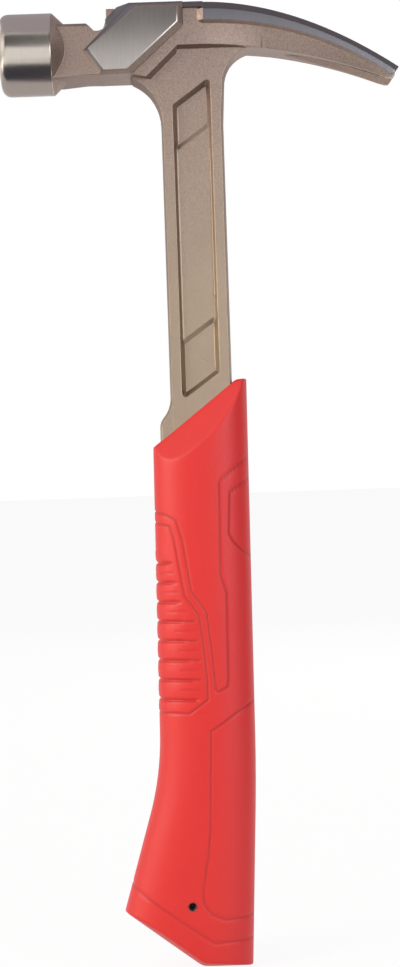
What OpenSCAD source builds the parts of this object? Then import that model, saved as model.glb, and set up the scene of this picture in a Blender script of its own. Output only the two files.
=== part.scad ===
/* [Overall] */
// Length from the butt of the grip to the top of the head
overall_l = 350; // [335:1:365]
// From the shank's centre line to the middle of the striking face
face_reach = 69.4; // [66:0.2:74]
// From the shank's centre line to the claw tips
claw_reach = 75.4; // [70:0.2:82]

/* [Bell] */
// Diameter of the striking bell
bell_d = 29.6; // [29:0.2:31]
// Length of the bell from the face to its rear rim
bell_l = 19.4; // [17:0.2:21]
// Depth of the bell's axis below the top of the head
bell_drop = 15.6; // [15:0.1:16.5]
// Height of the crown on the striking face
crown_h = 0.6; // [0.3:0.1:1.2]
// Radius of the flat spot in the middle of the crown
crown_flat_r = 4; // [2:0.5:6]
// Width of the rounded edge of the face, along the axis
face_edge_w = 3.2; // [2:0.2:4]
// Height of the rounded edge of the face, across the axis
face_edge_h = 2.6; // [1.6:0.2:3.4]
// Length of the cone from the rear rim down to the neck
rear_cone_l = 5; // [4:0.1:6]

/* [Neck] */
// Thickness of the neck from side to side
neck_t = 20; // [18:0.5:22]
// Height of the neck
neck_h = 18.9; // [18:0.1:19.8]
// Height of the neck's top above the bell's axis
neck_rise = 8.95; // [8.6:0.05:9.6]
// Bevel along the neck's two top edges
neck_bevel = 1; // [0.6:0.1:1.8]

// Height of the swell under the neck where it meets the bell
neck_root_h = 0.8; // [0.4:0.1:1]
// Length of that swell
neck_root_l = 7; // [5:0.5:9]

/* [Nail set] */
// From the shank's centre line to the anvil wall
anvil_reach = 30.4; // [29:0.2:31.6]
// Width of the anvil block that takes the nail's head
anvil_w = 9; // [8:0.5:11]
// Depth of the anvil block's top below the top of the head
anvil_drop = 0.6; // [0.3:0.1:1.5]
// How far the anvil block stands back from the notch's wall
anvil_setback = 0.3; // [0.2:0.1:1]
// Depth of the cross notch below the neck's top
notch_depth = 3; // [2:0.1:3.6]
// Width of the cross notch's flat floor
notch_floor_w = 1.7; // [1:0.1:2.5]
// Length of the notch's front slope
notch_slope_w = 2.9; // [2:0.1:3.6]
// Size of the notch's rounded rear corner
notch_corner = 2.3; // [1.5:0.1:2.6]
// Shank diameter of the largest nail that the nail set holds
nail_d = 4.1; // [3.4:0.1:4.5]
// Clearance round the nail in the bell's groove
nail_gap = 0.45; // [0.2:0.05:0.8]
// Height of the nail's axis above the bell's axis
nail_rise = 12.3; // [11.8:0.1:13]
// Diameter of the nail-set magnet
magnet_d = 5; // [4:0.5:6]
// Thickness of the nail-set magnet
magnet_t = 3; // [2:0.5:5]
// Glue line round and under the magnet
magnet_gap = 0.05; // [0.02:0.01:0.1]
// From the magnet's axis to the front edge of the notch
magnet_setback = 4; // [3.4:0.1:4.6]

/* [Cheek] */
// Width of the head over its polished cheeks
cheek_t = 24; // [23:0.5:26]
// Reach of the cheek's front corner from the shank's centre line
cheek_nose_x = 36.6; // [35.5:0.2:38.5]
// Depth of the cheek's front corner below the top of the head
cheek_nose_drop = 16.2; // [15:0.2:18]
// Reach of the upper end of the cheek's slanted front edge
cheek_crest_x = 21.9; // [20:0.2:24]
// Reach of the front end of the cheek's bottom edge
cheek_toe_x = 31.4; // [30:0.2:33]
// Reach of the rear end of the cheek's bottom edge
cheek_heel_x = 22.9; // [21:0.2:25]
// Reach of the cheek's rear edge
cheek_back_x = 4.2; // [3.6:0.1:5.2]
// Depth of the cheek's rear corner below the top of the head
cheek_back_drop = 7.7; // [7:0.1:9]
// Depth of the cheek's top edge below the top of the head
cheek_top_drop = 1.8; // [1.2:0.1:2.4]
// Height of the cheek's bottom edge above the underside
cheek_foot_rise = 1.2; // [0.8:0.1:1.8]
// Width of the polished chamfer at the cheek's crest, narrowing to nothing at its nose
cheek_chamfer = 2.8; // [1.6:0.1:3.4]
// Depth of that chamfer and of the upper half of the cheek's walls
cheek_chamfer_t = 1; // [0.6:0.1:1.4]
// Width of the sloping walls round the cheek
cheek_wall_w = 2.1; // [1.4:0.1:2.4]
// How far the shoulder runs out between the cheek and the anvil block
shoulder_w = 4.2; // [3:0.2:5]

/* [Web] */
// Thickness of the head at the web beside the cheek
web_t = 19.4; // [18:0.2:20]
// Reach of the front end of the web's lower edge
web_toe_x = 16.2; // [14:0.2:18]
// How far the web's front end hangs below the neck
web_toe_drop = 1.2; // [0.6:0.1:1.6]
// Reach of the bend in the web's lower edge
web_bend_x = 4.6; // [3.6:0.2:5.6]
// Depth of that bend below the top of the head
web_bend_drop = 15.7; // [15:0.1:16.5]
// Width of the sloping wall below the web
web_wall_w = 1.5; // [1:0.1:2.2]
// Width of the stub, the blasted gap between cheek and claw strip
stub_w = 9.3; // [8.6:0.1:10]
// Width of the sloping end wall of the claw strip at the stub
stub_wall_w = 2.2; // [1.2:0.1:2.6]
// Depth of the stub's upper end below the top of the head
stub_drop = 2.2; // [1.8:0.1:3]

/* [Claw] */
// Where the claw starts to curve down, from the shank's centre line
claw_root_x = 4; // [2:0.5:8]
// How far the claw's top falls at the tips
claw_fall = 25.6; // [22:0.2:30]
// Depth of the polished strip's lower edge below the top at the root
strip_drop = 7.2; // [6:0.1:8]
// How far the polished strip's lower edge falls at the tips
strip_fall = 22.4; // [19:0.2:25]
// How far the claw's underside falls at the tips
under_fall = 14.6; // [12:0.2:18]
// Width of the claw over its polished strips at the root
claw_w = 23; // [22:0.2:24]
// Width of the claw over its polished strips at the tips
claw_tip_w = 18.8; // [17:0.2:21]
// Width of the claw's underside
claw_under_w = 14; // [13:0.2:16]
// Height of the rounded bevel along the claw's top edges
claw_bevel_h = 3; // [2:0.1:3.6]
// Height of the small wall below the polished strip
strip_wall_h = 1; // [0.6:0.1:1.4]
// Height of the small wall between web and flange below the claw's root
root_wall_h = 0.9; // [0.4:0.1:1.4]
// How far the underside lifts towards the rounded tips
tip_lift = 1; // [0.4:0.1:1.4]
// How far the tips are cut back below
tip_slant = 2.6; // [1:0.1:3.4]
// Length of the nail slot between the claws
slot_l = 39.4; // [36:0.2:42]
// Width of the nail slot at its throat
slot_throat_w = 3; // [2:0.1:4]
// Width of the nail slot at the tips
slot_tip_w = 9.4; // [8:0.2:10]
// Width of the bevel along the slot's lower edges
slot_bevel = 1.3; // [0.6:0.1:1.6]

/* [Shank] */
// Width of the shank, seen from the side
shank_w = 22.7; // [21:0.1:24]
// Thickness of the shank over its flanges
shank_t = 13; // [12:0.2:14]
// Forging draft of the shank's edges, from the parting line to the face
shank_draft = 0.8; // [0.4:0.1:1.2]
// Radius of the fillet between shank and neck
front_fillet_r = 18; // [17:0.2:19]
// Radius of the fillet between shank and claw
rear_fillet_r = 13; // [12:0.2:14]
// How far the shank's rear edge leans out below that fillet
rear_flare = 0.75; // [0.3:0.05:1.2]
// Depth of the front fillet's centre below the top of the head
front_fillet_drop = 43.8; // [42:0.2:46]
// Reach of the front fillet under the neck
gusset_front_x = 22; // [20:0.2:23]
// Width of the recess in each side of the shank
recess_w = 14; // [12:0.1:15]
// Depth of the recess in its middle length
recess_depth = 1.6; // [1:0.1:2]
// Depth of the recess at its two ends
recess_end_depth = 2.6; // [2.2:0.1:3.2]
// Width of the recess's sloping walls for each depth of one
recess_slope = 0.6; // [0.4:0.05:0.9]
// Slope of the steps inside the recess for each depth of one
step_slope = 1.5; // [0.8:0.1:2]
// Corner radius of the recess at the shank's face
recess_corner_r = 1.3; // [1.1:0.1:2]
// Depth of the recess's upper front corner below the top of the head
recess_top_drop = 36.6; // [34:0.5:38]
// Length of the deep upper end of the recess
recess_upper_l = 16.5; // [15:0.2:20]
// Length of the shallow middle of the recess
recess_mid_l = 70.5; // [60:0.5:74]
// Length of the deep lower end of the recess
recess_lower_l = 20.4; // [16:0.2:22]
// Slope of the recess's ends and steps in degrees
recess_angle = 35.5; // [30:0.5:40]

/* [Collar and tang] */
// How far the shank widens in front where it enters the grip
collar_step = 4.15; // [3:0.05:5]
// Height of the start of the collar's swell above the butt
collar_top_z = 207.5; // [205:0.5:211]
// Height of the collar's full width above the butt
collar_full_z = 196.3; // [194:0.1:198]
// Height at which the collar ends inside the grip
collar_low_z = 186; // [183:0.5:188]
// Thickness of the tang inside the grip
tang_t = 8; // [6:0.5:10]
// Width of the tang
tang_w = 18; // [16:0.5:20]
// Height of the tang's lower end above the butt
tang_low_z = 12; // [10:0.5:16]
// Diameter of the tang's keying holes
key_hole_d = 8; // [6:0.5:10]
// Number of keying holes
key_holes = 3; // [2:1:4]

/* [Grip core] */
// Wall of the core in front of and behind the tang
core_wall = 3; // [2:0.2:3.6]
// Thickness of the core
core_t = 17; // [15:0.5:18.5]
// Height of the core's upper end above the butt
core_top_z = 180; // [174:1:182]

/* [Grip] */
// Reach of the grip's front edge at its upper end
grip_front_x = 18; // [17:0.2:19]
// Reach of the grip's rear edge at its upper end
grip_back_x = 16.6; // [16:0.2:18]
// Thickness of the grip from side to side
grip_t = 28; // [26:0.5:31]
// How far the grip leans forward over its length
grip_lean = 2.2; // [1:0.2:3]
// Height of the grip's upper edge at the back of the hammer
grip_top_z = 213.4; // [211:0.2:216]
// Reach of the upper end of the slanted upper edge
grip_peak_x = 12.6; // [12:0.2:14]
// Slope of the grip's upper edge in degrees
grip_top_angle = 38; // [34:0.5:40]
// Width of the flat facets below the slanted upper edge
facet_w = 10; // [9:0.5:13]
// Height at which the butt starts to flare
flare_z = 85; // [75:1:95]
// Length over which the flare rounds in
flare_blend = 30; // [20:1:40]
// Slope of the flared front of the butt in degrees
flare_front_angle = 16; // [12:0.5:18]
// Slope of the butt's back in degrees
flare_back_angle = 2.3; // [0:0.1:4]
// Reach of the front end of the butt's flat foot
foot_front_x = 6.6; // [4:0.2:9]
// Radius of the butt's crowned underside, from side to side
butt_dome_r = 28; // [24:1:36]
// Slope of the butt's slanted underside in degrees
butt_angle = 37; // [32:0.5:40]
// Height of the lowest finger rib's groove above the butt
rib_low_z = 98.2; // [94:0.2:102]
// Spacing of the finger ribs' grooves
rib_pitch = 7.04; // [6:0.02:7.4]
// Number of grooves between the finger ribs
rib_count = 8; // [5:1:9]
// Depth of the grooves between the finger ribs
rib_depth = 0.9; // [0.4:0.1:1.2]
// Width of the grooves between the finger ribs
rib_groove_w = 2; // [1.2:0.1:2.6]
// How far the ribs stand out between the grooves
rib_swell = 0.25; // [0.1:0.05:0.5]
// Length over which the grooves fade out at the panel's rear edge
rib_fade = 3; // [2:0.5:5]
// Reach of the ribbed panel's rear edge at the highest groove
rib_reach_high = 12.6; // [10:0.2:14]
// Reach of the ribbed panel's rear edge at the lowest groove
rib_reach_low = 2.8; // [1:0.2:5]
// Diameter of the locating holes near the butt
dot_d = 2.8; // [2:0.1:4]
// Reach of the locating holes in front of the shank's centre line
dot_x = 9.3; // [8:0.1:11]
// Height of the locating holes above the butt
dot_z = 24.1; // [22:0.1:28]

/* [Hidden] */

// Whole model moved so that its box is centred over the butt
centre_x = (face_reach - claw_reach) / 2;
bell_z = overall_l - bell_drop;
bell_r = bell_d / 2;
neck_top_z = bell_z + neck_rise;
neck_low_z = neck_top_z - neck_h;
notch_floor_z = neck_top_z - notch_depth;
notch_rear_x = -anvil_reach;
notch_front_x = notch_rear_x - notch_corner - notch_floor_w - notch_slope_w;
magnet_x = notch_front_x - magnet_setback;
shank_x = shank_w / 2;
// Overrun of cuts past a surface
over = 2;
// Step that keeps flush pieces of one forging from sharing a plane
seam = 0.05;

// Point where the line from p along u meets the line from q along v
function meet(p, u, q, v) = p + u * cross(q - p, v) / cross(u, v);

// Outline whose sides are each moved outwards, with its points anticlockwise
function side(pts, i) = pts[(i + 1) % len(pts)] - pts[i];
function outward(pts, i) = [side(pts, i).y, -side(pts, i).x] / norm(side(pts, i));
function moved(pts, out) = [
    for (i = [0:len(pts) - 1])
        let (
            h = (i + len(pts) - 1) % len(pts),
            before = pts[h] + outward(pts, h) * out[h],
            after = pts[i] + outward(pts, i) * out[i]
        )
        meet(before, side(pts, h), after, side(pts, i))
];
function all_moved(pts, out) = moved(pts, [for (p = pts) out]);

// Convex outline with every corner rounded
corner_steps = 3;
function rounded(pts, r) = [
    for (i = [0:len(pts) - 1])
        let (
            h = (i + len(pts) - 1) % len(pts),
            n1 = outward(pts, h),
            n2 = outward(pts, i),
            c = pts[i] - (n1 + n2) * r / (1 + n1 * n2),
            turn = atan2(cross(n1, n2), n1 * n2),
            start = atan2(n1.y, n1.x)
        )
        for (k = [0:corner_steps])
            let (a = start + turn * k / corner_steps)
            c + r * [cos(a), sin(a)]
];

// Solid through a stack of rings with the same number of points
module loft(rings) {
    n = len(rings[0]);
    m = len(rings);
    corners = [for (r = rings) each r];
    walls = [
        for (k = [0:m - 2], i = [0:n - 1])
            let (j = (i + 1) % n, a = k * n, b = k * n + n)
            each [[a + i, b + i, b + j], [a + i, b + j, a + j]]
    ];
    floor_face = [for (i = [0:n - 1]) i];
    roof_face = [for (i = [n - 1:-1:0]) (m - 1) * n + i];
    polyhedron(concat(corners), concat(walls, [floor_face, roof_face]));
}

// Side outline (x, z) as a ring at depth y
function ring_at(pts, y) = [for (p = pts) [p.x, y, p.y]];

// Plate symmetric about the middle plane; layers run from the outer face in, as [half thickness, outline]
module layered(layers) {
    back = [for (l = layers) ring_at(l[1], l[0])];
    front = [for (k = [len(layers) - 1:-1:0]) ring_at(layers[k][1], -layers[k][0])];
    loft(concat(back, front));
}

// Extrusion of a side outline (x, z) across the hammer
module across(t) {
    rotate([90, 0, 0]) linear_extrude(t, center = true) children();
}

// Bell

function crown_drop(r) = crown_h * pow(r / (bell_r - face_edge_h), 2);
edge_steps = 6;
crown_steps = 4;
bell_profile = concat(
    [[0, 0], [crown_flat_r, 0]],
    [
        for (k = [1:crown_steps])
            let (r = crown_flat_r + (bell_r - face_edge_h - crown_flat_r) * k / crown_steps)
            [r, crown_drop(r) - crown_drop(crown_flat_r)]
    ],
    [
        for (k = [1:edge_steps])
            let (a = 90 * k / edge_steps, h = crown_h - crown_drop(crown_flat_r))
            [bell_r - face_edge_h + face_edge_h * sin(a), h + face_edge_w * (1 - cos(a))]
    ],
    [[bell_r, bell_l], [neck_t / 2 - seam, bell_l + rear_cone_l], [0, bell_l + rear_cone_l]]
);

module magnet_pocket(height) {
    translate([magnet_x, 0, neck_top_z - magnet_t - magnet_gap])
        cylinder(h = height, d = magnet_d + 2 * magnet_gap, $fn = 48);
}

module bell() {
    groove_r = nail_d / 2 + nail_gap;
    translate([-face_reach, 0, bell_z]) difference() {
        rotate([0, 90, 0]) rotate_extrude($fn = 96) polygon(bell_profile);
        translate([-over, 0, nail_rise]) rotate([0, 90, 0])
            cylinder(h = bell_l + rear_cone_l + 2 * over, r = groove_r, $fn = 32);
        translate([-over, -groove_r, nail_rise])
            cube([bell_l + rear_cone_l + 2 * over, 2 * groove_r, bell_r]);
        translate([face_reach, 0, -bell_z]) magnet_pocket(bell_d);
    }
}

// Neck

module neck() {
    half = neck_t / 2;
    section = [
        [-half, neck_low_z],
        [half, neck_low_z],
        [half, neck_top_z - neck_bevel],
        [half - neck_bevel, neck_top_z],
        [neck_bevel - half, neck_top_z],
        [-half, neck_top_z - neck_bevel]
    ];
    front_x = -face_reach + bell_l - over;
    length = cheek_wall_w / 2 - cheek_heel_x - front_x;
    translate([front_x, 0, 0]) rotate([90, 0, 90]) linear_extrude(length) polygon(section);
    root_x = bell_l + rear_cone_l - face_reach;
    across(neck_t) polygon([
        [front_x, neck_low_z - neck_root_h],
        [root_x - over, neck_low_z - neck_root_h],
        [root_x + neck_root_l, neck_low_z],
        [root_x + neck_root_l, neck_low_z + over],
        [front_x, neck_low_z + over]
    ]);
}

// Cheek block: its sides in order are top, slanted front, lower front, bottom, lower back and back

cheek_outline = [
    [-cheek_back_x, overall_l - cheek_top_drop],
    [-cheek_crest_x, overall_l - cheek_top_drop],
    [-cheek_nose_x, overall_l - cheek_nose_drop],
    [-cheek_toe_x, neck_low_z + cheek_foot_rise],
    [-cheek_heel_x, neck_low_z + cheek_foot_rise],
    [-cheek_back_x, overall_l - cheek_back_drop]
];

cheek_face = [
    for (i = [0:len(cheek_outline) - 1])
        cheek_outline[i] + [i == 1 ? cheek_chamfer : 0, 0]
];

module cheek_block() {
    full = cheek_t / 2;
    mid = full - cheek_chamfer_t;
    low = neck_t / 2 + seam;
    half_w = cheek_wall_w / 2;
    half_top = cheek_top_drop / 2;
    half_foot = cheek_foot_rise / 2;
    foot = cheek_foot_rise + seam;
    wall = cheek_wall_w;
    upper = moved(cheek_outline, [half_top, 0, half_w, half_foot, half_w, half_w]);
    lower = moved(cheek_outline, [cheek_top_drop, half_w, wall, foot, wall, wall]);
    inner = moved(cheek_outline, [cheek_top_drop, shoulder_w, wall, foot, wall, wall]);
    layered([[full, cheek_face], [mid, upper], [low, lower], [anvil_w / 2, inner]]);
}

// Everything above the neck's top and in front of the anvil wall is cut away, with a notch for the nail's head
module notch_cut() {
    x1 = notch_rear_x;
    x2 = x1 - notch_corner;
    x3 = x2 - notch_floor_w;
    corner_shares = [0.3, 0.25];
    across(cheek_t + 2 * over) polygon([
        [x1, overall_l + over],
        [-face_reach, overall_l + over],
        [-face_reach, neck_top_z],
        [notch_front_x, neck_top_z],
        [x3, notch_floor_z],
        [x2, notch_floor_z],
        [x1 - notch_corner * corner_shares[0], notch_floor_z + notch_corner * corner_shares[1]],
        [x1, notch_floor_z + notch_corner]
    ]);
}

module anvil_block() {
    x0 = notch_rear_x + anvil_setback;
    translate([x0, -anvil_w / 2, notch_floor_z])
        cube([-x0 - cheek_crest_x + cheek_chamfer, anvil_w, overall_l - anvil_drop - notch_floor_z]);
}

// Web

web_outline = [
    [-cheek_crest_x + over, overall_l - stub_drop],
    [-cheek_heel_x - over, neck_low_z + web_toe_drop / 2],
    [-web_toe_x, neck_low_z - web_toe_drop],
    [-web_bend_x, overall_l - web_bend_drop],
    [-web_bend_x + web_wall_w, overall_l - stub_drop]
];

module web() {
    half = web_t / 2;
    foot = moved(web_outline, [0, 0, web_wall_w, 0, 0]);
    layered([[half, web_outline], [shank_t / 2 - seam, foot]]);
}

// Polished bridge over the stub, flush with the claw's top edge
module stub_bridge() {
    bevel_share = 0.3;
    slope_share = 0.6;
    half = claw_w / 2 - claw_bevel_h * bevel_share;
    top_half = half - stub_drop * slope_share;
    z = overall_l - stub_drop;
    section = [
        [-half, z],
        [half, z],
        [half, z + seam],
        [top_half, overall_l - seam],
        [-top_half, overall_l - seam],
        [-half, z + seam]
    ];
    x0 = -cheek_back_x - over;
    length = stub_w + over;
    translate([x0, 0, 0]) rotate([90, 0, 90]) linear_extrude(length) polygon(section);
}

// Claw

claw_l = claw_reach - claw_root_x;
claw_steps = 18;
tip_steps = 3;
root_steps = 6;
// Curves of the claw's top, strip and underside as powers of its length
curve_shares = [1.92, 2.16, 2];
// Last part of the claw, over which its underside lifts to the tips
tip_share = 0.06;
// Part of the top bevel's height that is left at the tips
bevel_end_share = 0.6;
function sag(s, p) = pow(max(0, s), p);
function claw_top(s) = overall_l - 2 * seam - claw_fall * sag(s, curve_shares[0]);
function strip_low(s) = overall_l - strip_drop - strip_fall * sag(s, curve_shares[1]);
function tip_rise(s) = tip_lift * sag((s - 1 + tip_share) / tip_share, 2);
function under(s) = overall_l - web_bend_drop + seam - under_fall * sag(s, curve_shares[2]) + tip_rise(s);
function taper(a, b, s) = a + (b - a) * max(0, s);
function claw_x(s) = claw_root_x + claw_l * s;
// The lower rings lag behind the upper ones, so that the tips are cut back below
function lag(s, z) = claw_x(s) - tip_slant * s * (claw_top(s) - z) / (claw_top(s) - under(s));
function claw_ring(s, pts) = [for (p = pts) [lag(s, p.y), p.x, p.y]];

function strip_section(s, half) =
    let (
        foot = min(half, taper(web_t, claw_tip_w - 2 * strip_wall_h, s) / 2),
        bevel = taper(claw_bevel_h, claw_bevel_h * bevel_end_share, s),
        top = claw_top(s),
        wall = strip_wall_h * (1 - s / 2),
        low = max(strip_low(s), under(s) + wall + seam)
    )
    [
        [-foot, low - wall],
        [foot, low - wall],
        [half, low],
        [half, top - bevel],
        [half - bevel, top],
        [bevel - half, top],
        [-half, top - bevel],
        [-half, low]
    ];

// The underside is as wide as the web at the root and narrows over the rear fillet
root_end_share = 0.06;
function nearness(s) = max(root_end_share, 1 - (1 - root_end_share) * claw_l * max(0, s) / rear_fillet_x);
function panel_low(s) = (claw_under_w + (web_t - 2 * seam - claw_under_w) * nearness(s)) / 2;

function panel_section(s) =
    let (
        upper = taper(web_t, claw_tip_w - 2 * strip_wall_h, s) / 2,
        lower = panel_low(s),
        low = under(s),
        foot = max(strip_low(s) - strip_wall_h * (1 - s / 2), low + seam),
        top = max(foot + seam, claw_top(s) - stub_drop)
    )
    [
        [-lower, low],
        [lower, low],
        [upper, foot],
        [upper, top],
        [-upper, top],
        [-upper, foot]
    ];

function root_section(s) =
    let (half = shank_t / 2 - seam, low = under(s), lower = panel_low(s) - seam)
    [
        [-half, low - root_wall_h * nearness(s)],
        [half, low - root_wall_h * nearness(s)],
        [lower, low + seam],
        [-lower, low + seam]
    ];

module claw_strip() {
    s0 = (stub_w - cheek_back_x - claw_root_x) / claw_l;
    // The first ring lies inside the web, so that the strip starts with a sloping wall
    start = s0 - stub_wall_w / claw_l;
    shares = concat(
        [for (k = [0:claw_steps]) s0 + (1 - tip_share - s0) * k / claw_steps],
        [for (k = [1:tip_steps]) 1 - tip_share + tip_share * k / tip_steps]
    );
    loft(concat(
        [claw_ring(start, strip_section(start, web_t / 2 - seam))],
        [for (s = shares) claw_ring(s, strip_section(s, taper(claw_w, claw_tip_w, s) / 2))]
    ));
}

module claw_panel() {
    s0 = (-web_bend_x - over - claw_root_x) / claw_l;
    shares = concat(
        [s0],
        [for (k = [0:claw_steps]) (1 - tip_share) * k / claw_steps],
        [for (k = [1:tip_steps]) 1 - tip_share + tip_share * k / tip_steps]
    );
    loft([for (s = shares) claw_ring(s, panel_section(s))]);
}

// Small sloping wall that leads from the web's lower edge down to the flange
module root_wall() {
    s0 = (-web_bend_x - over - claw_root_x) / claw_l;
    s1 = rear_fillet_x / claw_l;
    loft([for (k = [0:root_steps]) let (s = s0 + (s1 - s0) * k / root_steps) claw_ring(s, root_section(s))]);
}

// Nail slot: a wedge through the claws with a round throat and bevelled lower edges
module nail_slot() {
    throat_x = claw_reach - slot_l;
    end_x = claw_reach + over;
    half_a = slot_throat_w / 2;
    half_b = half_a + (slot_tip_w / 2 - half_a) * (slot_l + over) / slot_l;
    low_z = overall_l - web_bend_drop - under_fall;
    height = overall_l + over - low_z;
    translate([0, 0, low_z - over]) {
        linear_extrude(height) polygon([
            [throat_x + half_a, -half_a],
            [end_x, -half_b],
            [end_x, half_b],
            [throat_x + half_a, half_a]
        ]);
        translate([throat_x + half_a, 0, 0]) cylinder(h = height, r = half_a, $fn = 48);
    }
    // Bevels follow the underside as a wedge that is wider below
    rings = [
        for (k = [0:claw_steps / 2])
            let (
                t = 2 * k / claw_steps,
                x = throat_x - slot_bevel + (end_x - throat_x + slot_bevel) * t,
                s = (x - claw_root_x) / claw_l,
                w = max(seam, half_a * min(1, 4 * t) + (half_b - half_a) * t)
            )
            [
                [x, -w - 2 * slot_bevel, under(s) - slot_bevel],
                [x, w + 2 * slot_bevel, under(s) - slot_bevel],
                [x, w, under(s) + slot_bevel],
                [x, -w, under(s) + slot_bevel]
            ]
    ];
    loft(rings);
}

// Shank

function slant(x) = x * tan(recess_angle);

front_fillet_x = shank_x + front_fillet_r;
front_fillet_z = overall_l - front_fillet_drop;
rear_fillet_x = shank_x + rear_flare + rear_fillet_r;
rear_fillet_z = under((rear_fillet_x - claw_root_x) / claw_l) - rear_fillet_r;
web_low_z = overall_l - web_bend_drop;

// Each outline goes with the share of the forging draft that each of its sides takes
shank_outline = [
    [-shank_x, collar_low_z - over],
    [shank_x, collar_low_z - over],
    [shank_x, front_fillet_z + over],
    [-shank_x, front_fillet_z + over]
];
shank_draft_shares = [0, 1, 0, 1];

front_gusset = [
    [-gusset_front_x, front_fillet_z],
    [0, front_fillet_z],
    [0, web_low_z + over],
    [-web_bend_x, web_low_z + over],
    [-gusset_front_x, neck_low_z + seam * 3]
];
front_draft_shares = [0, 0, 0, 0, 1];

rear_edge = [
    [0, front_fillet_z],
    [shank_x, front_fillet_z],
    [shank_x + rear_flare, rear_fillet_z],
    [shank_x + rear_flare, rear_fillet_z + seam],
    [0, rear_fillet_z + seam]
];
rear_edge_draft_shares = [0, 1, 1, 0, 0];

rear_gusset = [
    [0, rear_fillet_z],
    [rear_fillet_x, rear_fillet_z],
    [rear_fillet_x, rear_fillet_z + rear_fillet_r + seam],
    [claw_root_x, web_low_z + seam * 2],
    [0, web_low_z + seam * 2]
];
rear_draft_shares = [0, 0, 0, 0, 0];

module drafted(outline, shares, sunk = 0) {
    layered([[shank_t / 2 - sunk, moved(outline, -shank_draft * shares)], [0, outline]]);
}

// Cone that leaves a drafted hollow of the given radius at the parting line
module hollow_cone(x, z, r) {
    reach = shank_t / 2 + over;
    spread = shank_draft * reach / (shank_t / 2);
    for (turn = [-90, 90])
        translate([x, 0, z]) rotate([turn, 0, 0]) cylinder(h = reach, r1 = r, r2 = r + spread, $fn = 96);
}

module shank_body() {
    drafted(shank_outline, shank_draft_shares);
    drafted(rear_edge, rear_edge_draft_shares);
    difference() {
        drafted(front_gusset, front_draft_shares);
        hollow_cone(-front_fillet_x, front_fillet_z, front_fillet_r);
    }
    difference() {
        drafted(rear_gusset, rear_draft_shares);
        hollow_cone(rear_fillet_x, rear_fillet_z, rear_fillet_r);
    }
}

// Collar: a hollow arc and a round one, each tangent to the next, swell the shank's front edge
collar_x = shank_x + collar_step;
collar_rise = collar_top_z - collar_full_z;
collar_turn = 2 * atan(collar_step / collar_rise);
collar_arcs_r = collar_rise / sin(collar_turn);
// Part of the two radii that the hollow arc takes
hollow_share = 0.64;
hollow_steps = 6;
round_steps = 4;
collar_outline = concat(
    [[0, collar_low_z], [0, collar_top_z + seam], [seam - shank_x, collar_top_z + seam]],
    [
        for (k = [1:hollow_steps])
            let (a = collar_turn * k / hollow_steps, r = collar_arcs_r * hollow_share)
            [-shank_x - r * (1 - cos(a)), collar_top_z - r * sin(a)]
    ],
    [
        for (k = [round_steps - 1:-1:0])
            let (a = collar_turn * k / round_steps, r = collar_arcs_r * (1 - hollow_share))
            [-collar_x + r * (1 - cos(a)), collar_full_z + r * sin(a)]
    ],
    [[-collar_x, collar_low_z]]
);
collar_draft_shares = [for (i = [0:len(collar_outline) - 1]) i < 2 || i == len(collar_outline) - 1 ? 0 : 1];

module collar() {
    drafted(collar_outline, collar_draft_shares, seam);
}

// Pocket in both sides of the shank; runs give how far each wall slopes in for each depth of one
module pocket(low_z, high_z, width, depth, run_shares) {
    half = width / 2;
    edge = [
        [-half, low_z - slant(half)],
        [half, low_z + slant(half)],
        [half, high_z + slant(half)],
        [-half, high_z - slant(half)]
    ];
    face_y = shank_t / 2;
    // Corners grow sharper with depth
    corner_share = 0.38;
    floor_ring = rounded(moved(edge, -depth * run_shares), recess_corner_r - corner_share * depth);
    top_ring = rounded(moved(edge, over * run_shares), recess_corner_r + corner_share * over);
    for (flip = [0, 1]) mirror([0, flip, 0])
        loft([ring_at(floor_ring, depth - face_y), ring_at(top_ring, -face_y - over)]);
}

module shank_recess() {
    high_z = overall_l - recess_top_drop + slant(recess_w / 2);
    step1_z = high_z - recess_upper_l;
    step2_z = step1_z - recess_mid_l;
    low_z = step2_z - recess_lower_l;
    end_run = step_slope * (recess_depth + recess_end_depth) / 2 / cos(recess_angle);
    wall = [recess_slope, recess_slope, recess_slope, recess_slope];
    upper_wall = [step_slope, recess_slope, recess_slope, recess_slope];
    lower_wall = [recess_slope, recess_slope, step_slope, recess_slope];
    pocket(step2_z - over, step1_z + over, recess_w - 2 * seam, recess_depth, wall);
    pocket(step1_z - end_run, high_z, recess_w, recess_end_depth, upper_wall);
    pocket(low_z, step2_z + end_run, recess_w, recess_end_depth, lower_wall);
}

// Tang

tang_front_x = tang_w / 2 + grip_lean / 2;
tang_back_x = tang_w / 2 - grip_lean / 2;
tang_outline = [
    [-tang_front_x, collar_low_z + over],
    [-tang_front_x, flare_z],
    [-dot_x - 2 * dot_d, dot_z + 2 * dot_d],
    [-dot_x - 2 * dot_d, dot_z - dot_d],
    [-dot_x + dot_d, tang_low_z],
    [tang_back_x - grip_lean, tang_low_z],
    [tang_back_x, flare_z],
    [tang_back_x, collar_low_z + over]
];

module key_hole_row(t) {
    room = core_top_z - flare_z;
    for (k = [1:key_holes])
        translate([-grip_lean / 2, 0, flare_z + room * (k - 0.5) / key_holes])
            rotate([90, 0, 0]) cylinder(h = t, d = key_hole_d, center = true, $fn = 48);
}

module tang() {
    difference() {
        across(tang_t) polygon(tang_outline);
        key_hole_row(tang_t + over);
    }
}

module head() {
    difference() {
        union() {
            neck();
            cheek_block();
        }
        notch_cut();
        magnet_pocket(magnet_t + over);
    }
}

module claws() {
    difference() {
        union() {
            claw_strip();
            claw_panel();
            root_wall();
        }
        nail_slot();
    }
}

module shank() {
    difference() {
        union() {
            shank_body();
            collar();
        }
        shank_recess();
    }
}

module hammer_forging() {
    color([0.68, 0.62, 0.56]) {
        bell();
        head();
        anvil_block();
        web();
        stub_bridge();
        claws();
        shank();
        tang();
    }
}

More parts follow.
